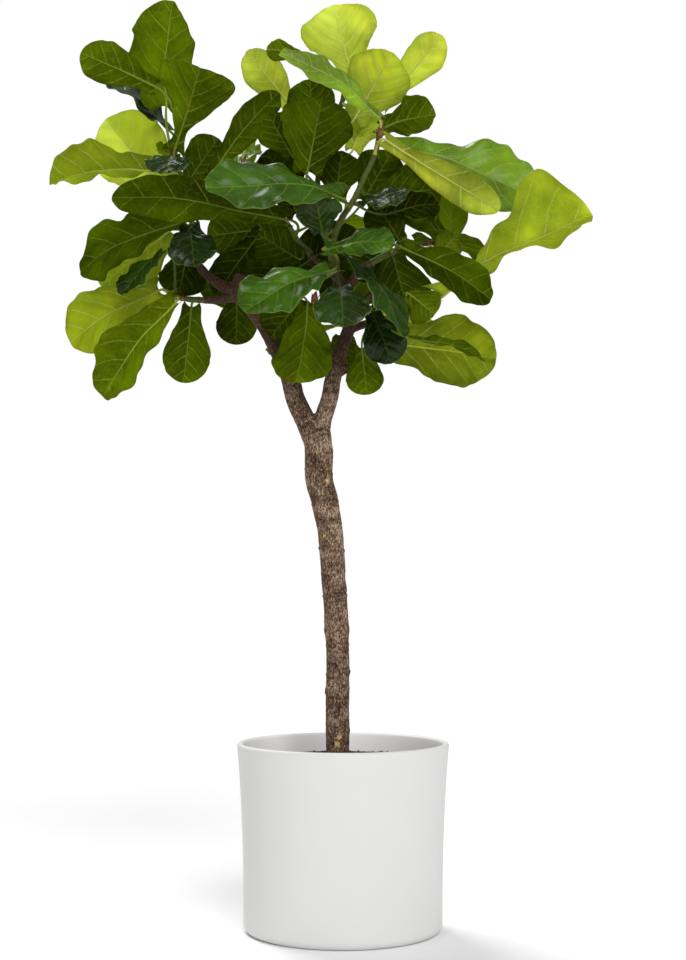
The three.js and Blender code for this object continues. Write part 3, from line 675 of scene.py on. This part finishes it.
def stem_finish():
    finish, here = new_finish("green stem")
    blotches = finish.noise(here, 60.0, 4.0)
    lines = finish.noise(here.scaled((1.0, 1.0, 0.3)), 420.0, 3.0)
    colours = [(0.035, 0.045, 0.008), (0.07, 0.095, 0.013), (0.07, 0.04, 0.02)]
    colour = finish.ramp(blotches * 1.8 - 0.4, colours)
    return finish.grained(colour, lines, (0.7, 0.6), 0.6, (0.5, 0.0006), 0.15)


def rib_finish():
    finish, here = new_finish("leaf stalk and midrib")
    tone = finish.attribute("tone")
    patches = finish.noise(here, 120.0, 3.0)
    # By the leaf's tone, so the stalks of leaves deep in the crown get the same painted shade.
    colours = [(0.035, 0.055, 0.006), (0.13, 0.18, 0.012), (0.33, 0.4, 0.045), (0.62, 0.6, 0.2)]
    return finish.grained(finish.ramp(tone, colours), patches, (0.8, 0.4), 0.45, (0.25, 0.0005), 0.15)


def bud_finish():
    finish, here = new_finish("bud and stipules")
    lines = finish.noise(here.scaled((1.0, 1.0, 0.25)), 500.0, 4.0)
    patches = finish.noise(here, 90.0, 3.0)
    colour = finish.mix(patches.rising(0.4, 0.62), (0.11, 0.04, 0.016), (0.26, 0.11, 0.035))
    return finish.grained(colour, lines, (0.6, 0.8), 0.6, (0.6, 0.0007), 0.35)


def soil_finish():
    finish, here = new_finish("potting soil")
    crumbs = finish.cells(here, 330.0)
    grains = finish.noise(here, 420.0, 6.0, 0.7)
    patches = finish.noise(here, 25.0, 4.0)
    shade = (grains - 0.5) * 2.0 + patches * 0.9
    colours = [(0.012, 0.007, 0.005), (0.036, 0.02, 0.014), (0.075, 0.042, 0.028)]
    colour = finish.ramp(shade.clamped(), colours)
    normal = finish.bump(crumbs * 0.6 + grains, 1.0, 0.003)
    return finish.surface(colour, 0.92, normal, 0.2)


def chip_finish():
    finish, here = new_finish("bark chips in the soil")
    grains = finish.noise(here, 380.0, 4.0)
    tone = finish.attribute("tone")
    colours = [(0.02, 0.012, 0.008), (0.07, 0.036, 0.02), (0.16, 0.09, 0.05), (0.3, 0.22, 0.14)]
    return finish.grained(finish.ramp(tone, colours), grains, (0.6, 0.8), 0.88, (0.7, 0.0012), 0.2)


def pot_finish():
    finish, here = new_finish("white matte pot")
    cloud = finish.noise(here, 6.0, 3.0)
    grain = finish.noise(here, 900.0, 2.0)
    colour = finish.mix(cloud, (0.7, 0.698, 0.694), (0.72, 0.718, 0.714))
    out = finish.add("ShaderNodeVectorMath", {"operation": "LENGTH"}, {0: here.scaled((1.0, 1.0, 0.0))}, 1)
    height = here.part(2)
    inner_radius = (POT["rim_radius"] - POT["wall"]) * MM
    # Painted light: the inside of the wall above the soil is made whiter, to make up for the shade it gets
    # there.
    inside = (1.0 - out.rising(inner_radius, inner_radius + 0.004)) * height.rising(0.27, 0.3)
    colour = finish.mix(inside, colour, (0.93, 0.93, 0.93))
    return finish.surface(colour, 0.52 + cloud * 0.06, finish.bump(grain, 0.08, 0.0003), 0.4)


def floor_finish():
    finish, here = new_finish("pale floor")
    cloud = finish.noise(here, 1.5, 2.0)
    colour = finish.mix(cloud, (0.9, 0.9, 0.9), (0.92, 0.92, 0.92))
    return finish.surface(colour, 0.8, finish.bump(cloud, 0.02, 0.0001), 0.2)


# ---- Pot and soil ----


def side_radius(height):
    """The outer radius of the pot's side at a height: nearly straight low down, opening towards the rim."""
    share = (height / POT["height"]) ** POT["flare"]
    return lerp(POT["foot_radius"], POT["rim_radius"], share)


def corner(radius_out, height, size, start, end, steps):
    """Places on a round corner, as radius and height."""
    turns = [math.radians(lerp(start, end, i / steps)) for i in range(steps + 1)]
    return [(radius_out + size * math.cos(turn), height + size * math.sin(turn)) for turn in turns]


def add_turned(bm, profile, steps):
    """A profile of radius and height in millimetres, spun right round the pot's axis."""
    verts = [bm.verts.new((radius * MM, 0, height * MM)) for radius, height in profile]
    edges = [bm.edges.new(pair) for pair in zip(verts, verts[1:])]
    bmesh.ops.spin(
        bm, geom=verts + edges, cent=(0, 0, 0), axis=(0, 0, 1), angle=math.tau, steps=steps, use_merge=True
    )
    bmesh.ops.remove_doubles(bm, verts=bm.verts, dist=1e-5)
    face_outward(bm, bm.faces)


def make_pot(material):
    rim = POT["wall"] / 2
    foot = POT["corner_radius"]
    inner = POT["inner_corner_radius"]
    inner_top = POT["floor"] + inner
    profile = [(0, 0), (120, 0)]
    profile += corner(side_radius(foot) - foot, foot, foot, -90, 0, 10)
    profile += [(side_radius(h), h) for h in range(30, 340, 10)]
    profile += corner(side_radius(POT["height"]) - rim, POT["height"] - rim, rim, 8, 172, 16)
    profile += [(side_radius(h) - POT["wall"], h) for h in range(335, inner_top, -12)]
    profile += corner(side_radius(inner_top) - POT["wall"] - inner, inner_top, inner, 0, -90, 8)
    profile += [(0, POT["floor"])]
    bm = bmesh.new()
    add_turned(bm, profile, POT["steps_round"])
    add_piece(bm, "pot", material, "pot", "pot")


def soil_height(x, y):
    """The height of the soil in millimetres at a place in metres: a low mound, crumbly and uneven."""
    radius = math.hypot(x, y) / (side_radius(SOIL["edge_height"]) * MM)
    mound = SOIL["mound"] * max(0.0, 1 - radius * radius)
    lumps = noise.fractal(Vector((x, y, 0.7)) * SOIL["lump_scale"], 0.8, 2.1, 4)
    return SOIL["edge_height"] + mound + SOIL["lump"] * lumps


def make_soil(material, chip_material):
    outer = side_radius(SOIL["edge_height"]) - POT["wall"] - SOIL["gap"]
    low = SOIL["edge_height"] - SOIL["depth"]
    inner = side_radius(low) - POT["wall"] - SOIL["gap"]
    rings = SOIL["rings"]
    profile = [(outer * i / rings, SOIL["edge_height"]) for i in range(rings + 1)]
    profile += [(inner, low), (0, low)]
    bm = bmesh.new()
    add_turned(bm, profile, SOIL["steps_round"])
    for v in bm.verts:
        if v.co.z > (SOIL["edge_height"] - 1) * MM:
            v.co.z = soil_height(v.co.x, v.co.y) * MM
    add_piece(bm, "soil", material, "soil", "soil")

    draw = random.Random(11)
    bm = bmesh.new()
    tone = bm.verts.layers.float.new("tone")
    for _ in range(CHIPS["count"]):
        turn, out = draw.uniform(0, math.tau), CHIPS["spread"] * MM * math.sqrt(draw.random())
        size = lerp(*CHIPS["sizes"], draw.random() ** 2) * MM
        x, y = out * math.cos(turn), out * math.sin(turn)
        spin = Quaternion(Vector((draw.uniform(-1, 1), draw.uniform(-1, 1), 1)), draw.uniform(0, math.tau))
        stretch = Vector((1.3, draw.uniform(0.5, 1), draw.uniform(0.3, 0.7)))
        colour = draw.random() ** 1.5
        middle = Vector((x, y, soil_height(x, y) * MM + 0.15 * size))
        for v in bmesh.ops.create_icosphere(bm, subdivisions=1, radius=size / 2)["verts"]:
            v.co = middle + spin @ (v.co * stretch * draw.uniform(0.75, 1.2))
            v[tone] = colour
    add_piece(bm, "soil_chips", chip_material, "soil", smooth=False)


# ---- Trunk and limbs ----


def limb_path(name, step):
    points, radii = LIMBS[name]
    path = smooth_path([mm(p) for p in points], step * MM)
    return path, [along(radii, i / (len(path) - 1)) * MM for i in range(len(path))]


def weathered(place):
    """How far the bark stands out at a place, how deep its groove is there, and how bare it is."""
    rise = 1.2 * MM * noise.noise(place * 22)
    rise += 0.55 * MM * noise.fractal(Vector((place.x * 150, place.y * 150, place.z * 55)), 1.0, 2.0, 3)
    groove = 0.0
    for height, tilt, depth in RINGS:
        ragged = 2.2 * MM * noise.noise(Vector((place.x * 70, place.y * 70, height)))
        off = place.z - height * MM - tilt * (place.x + 0.03) - ragged
        if abs(off) > 0.012:
            continue
        cut = math.exp(-((off / (1.3 * MM)) ** 2)) * min(1.0, depth)
        groove = max(groove, cut * (0.55 + 0.6 * noise.noise(place * 90)))
        rise += depth * MM * (0.85 * math.exp(-(((off + 4 * MM) / (3 * MM)) ** 2)) - 0.9 * cut)
    for middle, reach, height in KNOTS:
        off = (place - mm(middle)).length / (reach * MM)
        if off < 2.5:
            rise += height * MM * math.exp(-off * off) * 1.4
            groove = max(groove, 0.7 * math.exp(-(((off - 0.9) / 0.25) ** 2)))
    bare = 0.0
    for middle, reach in FLECKS:
        off = (place - mm(middle)).length / (reach * MM)
        if off < 2:
            bare = max(bare, 1.0 if off + noise.noise(place * 400) < 0.8 else 0.0)
    return rise, max(0.0, min(1.0, groove)), bare


def make_trunk(material):
    bm = bmesh.new()
    for name in LIMBS:
        path, radii = limb_path(name, WOOD["step"])
        add_tube(bm, path, radii, WOOD["sides"])
    face_outward(bm, bm.faces)
    rough = finish_mesh(bm, "trunk_bars", material)
    joined = rough.modifiers.new("joined", "REMESH")
    joined.mode = "VOXEL"
    joined.voxel_size = WOOD["voxel"] * MM
    soft = rough.modifiers.new("soft", "SMOOTH")
    soft.iterations = 4
    soft.factor = 0.5
    mesh = bpy.data.meshes.new_from_object(rough.evaluated_get(bpy.context.evaluated_depsgraph_get()))
    bpy.data.objects.remove(rough)
    bm = bmesh.new()
    bm.from_mesh(mesh)
    bpy.data.meshes.remove(mesh)
    bm.normal_update()
    groove = bm.verts.layers.float.new("groove")
    bare = bm.verts.layers.float.new("bare")
    for v in bm.verts:
        rise, v[groove], v[bare] = weathered(v.co.copy())
        v.co += v.normal * rise * (WOOD["slim_relief"] if v.co.z > WOOD["slim_above"] * MM else 1.0)
    add_piece(bm, "trunk", material, "bark", "trunk")


# ---- Leaves ----


def outline(u, broadest):
    """The share of the full width at a share of the length, with lobes at the base and a broad blunt end."""
    body = max(0.0, math.sin(math.pi * u**broadest)) ** OUTLINE["bluntness"]
    return body + OUTLINE["lobes"] * math.exp(-((u / OUTLINE["lobe_reach"]) ** 2))


class Blade:
    """A leaf's blade: where it lies, and its form over u from base to tip and v across it, -1 to 1."""

    def __init__(self, row, index, shoot_seed):
        base, tip, facing, width, tone, *form = row
        self.base = mm(base)
        self.axis = mm(tip) - self.base
        self.length = self.axis.length
        self.axis.normalize()
        facing = Vector(facing)
        self.normal = (facing - facing.dot(self.axis) * self.axis).normalized()
        self.across = self.normal.cross(self.axis)
        self.width = width * MM
        self.tone = tone
        self.fold, self.arch, self.broadest = (*form, *COMMON_FORM[len(form) :])
        self.phase = BLADE["phase_step"] * index
        self.seed = shoot_seed + BLADE["seed_step"] * index

    def flat(self, u, v):
        """The place on the blade laid flat, in metres from its base."""
        reach = math.exp(-((u / OUTLINE["lobe_reach"]) ** 2))
        side = 1 if v > 0 else -1
        uneven = noise.noise(Vector((u * 4.5, side * 3, self.seed)))
        uneven += 0.5 * noise.noise(Vector((u * 13, side * 7, self.seed)))
        half = 0.5 * self.width * outline(u, self.broadest) * (1 + BLADE["uneven_edge"] * uneven * v * v)
        return self.length * (u - BLADE["lobe_set_back"] * v * v * reach), half * v

    def place(self, u, v, raised=0.0):
        x, y = self.flat(u, v)
        v *= 1 - u ** BLADE["tip_flat"]  # the two sides meet at the tip
        swell = math.sin(math.pi * u)
        other = BLADE["wave_shift"] if v < 0 else 0.0
        turn = math.tau * BLADE["waves_per_side"] * u + self.phase + other
        ripple = math.tau * BLADE["ripples_per_side"] * u + 1.7 * self.phase - other
        round_off = BLADE["midrib_round"] * MM
        edge = abs(v)
        z = self.arch * self.length * swell
        z += self.fold * (math.hypot(y, round_off) - round_off)
        z -= BLADE["edge_droop"] * self.width * v * v * swell
        z += BLADE["wave"] * self.width * edge**1.5 * math.sin(turn)
        z += BLADE["ripple"] * self.width * edge**3 * math.sin(ripple)
        bend = noise.noise(Vector((2.2 * u, 1.3 * v, self.seed)))
        z += BLADE["bend"] * self.length * bend * min(1.0, 4 * u)
        z += self.quilt(x / self.length, y / self.length, edge)
        return self.base + self.axis * x + self.across * y + self.normal * (z + raised)

    def quilt(self, lengthways, sideways, edge):
        """The blade swells up between the side veins, less near the midrib and at the edge."""
        away = abs(sideways)
        side = 0.5 * VEINS["stagger"] * (1 if sideways > 0 else -1)
        line = (lengthways - VEINS["slant"] * away - VEINS["curl"] * away * away) / VEINS["spacing"] + side
        bulge = 0.5 + 0.5 * math.cos(math.tau * line)
        return BLADE["quilt"] * MM * bulge * min(1.0, away / 0.05) * (1 - 0.75 * edge**4)


def add_blade(bm, layers, blade, quad):
    """A grid bent to the blade's form, and given its thickness."""
    rows = max(10, round(blade.length / (quad * MM)))
    columns = max(8, 2 * round(blade.width / (2 * quad * MM)))
    grid = bmesh.ops.create_grid(bm, x_segments=rows, y_segments=columns, size=0.5)["verts"]
    faces = list({f for v in grid for f in v.link_faces})
    for v in grid:
        along_blade, across_blade = v.co.x + 0.5, v.co.y * 2
        u = math.sin(along_blade * math.pi / 2)
        x, y = blade.flat(u, across_blade)
        v[layers["x"]], v[layers["y"]] = x / blade.length, y / blade.length
        v[layers["rim"]] = max(abs(across_blade), along_blade**6)
        v[layers["tone"]], v[layers["seed"]], v[layers["size"]] = blade.tone, blade.seed, blade.length
        v[layers["top"]] = 1.0
        v.co = blade.place(u, across_blade)
    bmesh.ops.remove_doubles(bm, verts=grid, dist=1e-5)
    faces = [f for f in faces if f.is_valid]
    face_outward(bm, faces)
    middle = sum((f.normal for f in faces), Vector())
    if middle.dot(blade.normal) > 0:  # what is kept of the sheet is turned over when it is drawn out
        bmesh.ops.reverse_faces(bm, faces=faces)
    made = bmesh.ops.extrude_face_region(bm, geom=faces, use_keep_orig=True)["geom"]
    lower = [v for v in made if isinstance(v, bmesh.types.BMVert)]
    for v in lower:
        v[layers["top"]] = 0.0
        v.co -= blade.normal * BLADE["thickness"] * MM


def petiole_path(blade, stem_places):
    """From the stem a little below the blade to the blade's base, where it comes in line with the midrib."""
    lowered = blade.base - Vector((0, 0, PETIOLE["below"] * MM))
    nearest = min(stem_places, key=lambda place: (place - lowered).length)
    behind = blade.base - blade.axis * PETIOLE["in_line"] * (nearest - blade.base).length
    steps = PETIOLE["steps"]
    path = []
    for i in range(steps):
        t = i / steps
        path.append(nearest * (1 - t) ** 2 + behind * (2 * t * (1 - t)) + blade.base * t * t)
    return path


def add_rib(bm, layers, blade, stem_places):
    """The petiole and, on from it, the midrib that stands out below the blade."""
    path = petiole_path(blade, stem_places)
    slim = min(1.0, 0.45 + blade.length / 0.25)
    steps = len(path)
    radii = [lerp(*PETIOLE["radii"], i / steps) * MM * slim for i in range(steps)]
    for i, collar in enumerate(PETIOLE["collars"]):
        radii[i] *= collar
    thickness = BLADE["thickness"] * MM
    for i in range(MIDRIB["steps"] + 1):
        share = i / MIDRIB["steps"]
        radius = lerp(PETIOLE["radii"][1] * slim, MIDRIB["end_radius"], share ** MIDRIB["taper"]) * MM
        sunk = lerp(0.4 * radius, radius + thickness * MIDRIB["sunk"], min(1.0, share / MIDRIB["sinks_by"]))
        path.append(blade.place(max(share * MIDRIB["end"], 0.004), 0.0, -sunk))
        radii.append(radius)
    for v in add_tube(bm, path, radii, PETIOLE["sides"]):
        v[layers["tone"]] = blade.tone


# ---- Shoots ----


def stem_points(shoot):
    """The stem starts inside the end of its limb, along the limb's own line."""
    ends = [mm(p) for p in LIMBS[shoot["limb"]][0][-2:]]
    start = ends[1] + (ends[0] - ends[1]).normalized() * STEM["sunk"] * MM
    return [start, ends[1], *(mm(p) for p in shoot["stem"])]


def heading(bearing, rise):
    """A direction by its bearing about +Z and its rise from the level, in degrees."""
    bearing, rise = math.radians(bearing), math.radians(rise)
    return Vector((math.cos(rise) * math.cos(bearing), math.cos(rise) * math.sin(bearing), math.sin(rise)))


def fanned_rows(shoot):
    """The rows of leaves that a shoot at the back has besides its placed ones, spread by the golden angle."""
    stem = smooth_path(stem_points(shoot), MM)
    rows = []
    for i in range(shoot["count"]):
        share = i / (shoot["count"] - 1)
        turn = shoot["bearing"] + shoot["fan"] * math.sin(math.radians(i * GOLDEN_ANGLE))
        lift = lerp(*shoot["rise"], share)
        size = lerp(*shoot["length"], share)
        grows = stem[round(lerp(BACK_LEAF["first_height"], 1, share) * (len(stem) - 1))] / MM
        base = grows + heading(turn, lift + BACK_LEAF["droop"]) * BACK_LEAF["petiole"]
        tip = base + heading(turn, lift) * size
        facing, width = heading(turn, BACK_LEAF["facing"]), size * BACK_LEAF["width_of_length"]
        rows.append((base, tip, facing, width, lerp(*BACK_LEAF["tones"], share)))
    return rows


def stem_radius(share, distance):
    """A stem's radius at a share of its length, swollen at its nodes."""
    swell = math.cos(math.pi * distance / (STEM["node_spacing"] * MM)) ** 16
    return along(STEM["radii"], share) * MM * (1 + STEM["node_swell"] * swell)


def make_stem(name, stem, material):
    bm = bmesh.new()
    count = len(stem) - 1
    step = (stem[1] - stem[0]).length
    add_tube(bm, stem, [stem_radius(i / count, i * step) for i in range(count + 1)], STEM["sides"])
    face_outward(bm, bm.faces)
    add_piece(bm, "stem_" + name, material, "bark")


def make_bud(name, stem, material, draw):
    """The pointed bud at a shoot's tip, and the dry stipules that stand round it."""
    bm = bmesh.new()
    onward = (stem[-1] - stem[-2]).normalized()
    start = stem[-1] - onward * BUD["sunk"] * MM
    count = BUD["steps"]
    path = [start + onward * BUD["length"] * MM * i / count for i in range(count + 1)]
    add_tube(bm, path, [along(BUD["radii"], i / count) * MM for i in range(count + 1)], BUD["sides"])
    turn = Vector((0, 0, 1)).rotation_difference(onward)
    for i in range(STIPULE["count"]):
        around = math.radians(i * GOLDEN_ANGLE + draw.uniform(-15, 15))
        length = STIPULE["length"] * MM * draw.uniform(0.7, 1.1)
        lean = draw.uniform(0.12, 0.35)
        base = stem[-1] - onward * (STIPULE["lowest"] + STIPULE["spacing"] * i) * MM
        grid = bmesh.ops.create_grid(bm, x_segments=6, y_segments=4, size=0.5)["verts"]
        faces = list({f for v in grid for f in v.link_faces})
        for v in grid:
            u, w = v.co.x + 0.5, v.co.y * 2
            wide = STIPULE["half_angle"] * (1 - u ** STIPULE["taper"]) * w
            out = (STIPULE["off_axis"] + lean * length / MM * u * u) * MM
            spot = Vector((out * math.cos(around + wide), out * math.sin(around + wide), length * u))
            v.co = base + turn @ spot
        bmesh.ops.remove_doubles(bm, verts=grid, dist=1e-5)
        faces = [f for f in faces if f.is_valid]
        face_outward(bm, faces)
        bmesh.ops.solidify(bm, geom=faces, thickness=STIPULE["thickness"] * MM)
    face_outward(bm, bm.faces)
    add_piece(bm, "bud_" + name, material, "bark")


def make_shoot(name, shoot, number, finishes):
    rows = list(shoot.get("leaves", []))
    if "count" in shoot:
        rows += fanned_rows(shoot)
    stem = smooth_path(stem_points(shoot), STEM["step"] * MM)
    fine_stem = smooth_path(stem_points(shoot), MM)
    free = fine_stem[STEM["sunk"] + PETIOLE["first_root"] :]
    blades = [Blade(row, i, 10.0 * number) for i, row in enumerate(rows)]
    bm = bmesh.new()
    layers = {key: bm.verts.layers.float.new(key) for key in ("x", "y", "rim", "tone", "seed", "size", "top")}
    quad = BLADE["quad"]
    for blade in blades:
        add_blade(bm, layers, blade, quad)
    uv = bm.loops.layers.uv.new("UVMap")
    for face in bm.faces:
        for loop in face.loops:
            loop[uv].uv = (loop.vert[layers["x"]], loop.vert[layers["y"]])
    add_piece(bm, "leaves_" + name, finishes["leaf"], "leaf", "shoot_" + name)
    bm = bmesh.new()
    layers = {"tone": bm.verts.layers.float.new("tone")}
    for blade in blades:
        add_rib(bm, layers, blade, free)
    face_outward(bm, bm.faces)
    add_piece(bm, "ribs_" + name, finishes["rib"], "leaf")
    make_stem(name, stem, finishes["stem"])
    make_bud(name, stem, finishes["bud"], random.Random(number))


# ---- The plant, the floor, the light and the camera ----


def make_plant():
    make_pot(pot_finish())
    make_soil(soil_finish(), chip_finish())
    make_trunk(bark_finish())
    finishes = {"leaf": leaf_finish(), "rib": rib_finish(), "stem": stem_finish(), "bud": bud_finish()}
    for number, (name, shoot) in enumerate(SHOOTS.items(), 1):
        make_shoot(name, shoot, number, finishes)


def make_floor():
    bm = bmesh.new()
    bmesh.ops.create_grid(bm, x_segments=1, y_segments=1, size=30)
    finish_mesh(bm, "floor", floor_finish(), smooth=False)


FILL = 0.42  # of the white round about, as a light


def aimed(thing, place, target):
    thing.location = place
    thing.rotation_euler = (Vector(target) - Vector(place)).to_track_quat("-Z", "Y").to_euler()
    scene.collection.objects.link(thing)


def make_sun(name, place, target, spread, strength):
    """A broad even light, from far away in the direction of a place."""
    lamp = bpy.data.lights.new(name, "SUN")
    lamp.angle = math.radians(spread)
    lamp.energy = strength
    aimed(bpy.data.objects.new(name, lamp), place, target)


def make_lights():
    """A white studio: an even fill, which the camera sees as white, and two broad lights."""
    world = bpy.data.worlds.new("studio")
    scene.world = world
    world.use_nodes = True
    nodes, links = world.node_tree.nodes, world.node_tree.links
    sky = nodes["Background"]
    sky.inputs["Color"].default_value = (1, 1, 1, 1)
    strength = nodes.new("ShaderNodeMapRange")
    strength.inputs["To Min"].default_value = FILL
    strength.inputs["To Max"].default_value = 1.0
    links.new(nodes.new("ShaderNodeLightPath").outputs["Is Camera Ray"], strength.inputs["Value"])
    links.new(strength.outputs["Result"], sky.inputs["Strength"])
    make_sun("broad light over the front", (0.7, -2.2, 2.7), (0, 0, 1), 30, 1.7)
    make_sun("broad light from above and behind", (-0.9, 1.6, 3.4), (0, 0, 1), 25, 1.8)


CAMERA = {"place": (0, -3.2, 0.67), "pitch": 3.13, "lens": 63.15, "sensor": 36}


def make_camera():
    """In front of the plant, at a height on its stem, and pitched slightly up."""
    lens = bpy.data.cameras.new("camera")
    lens.lens = CAMERA["lens"]
    lens.sensor_width = CAMERA["sensor"]
    camera = bpy.data.objects.new("camera", lens)
    camera.location = CAMERA["place"]
    camera.rotation_euler = (math.radians(90 + CAMERA["pitch"]), 0, 0)
    scene.collection.objects.link(camera)
    scene.camera = camera


make_plant()
make_floor()
make_lights()
make_camera()
scene.view_settings.view_transform = "Standard"
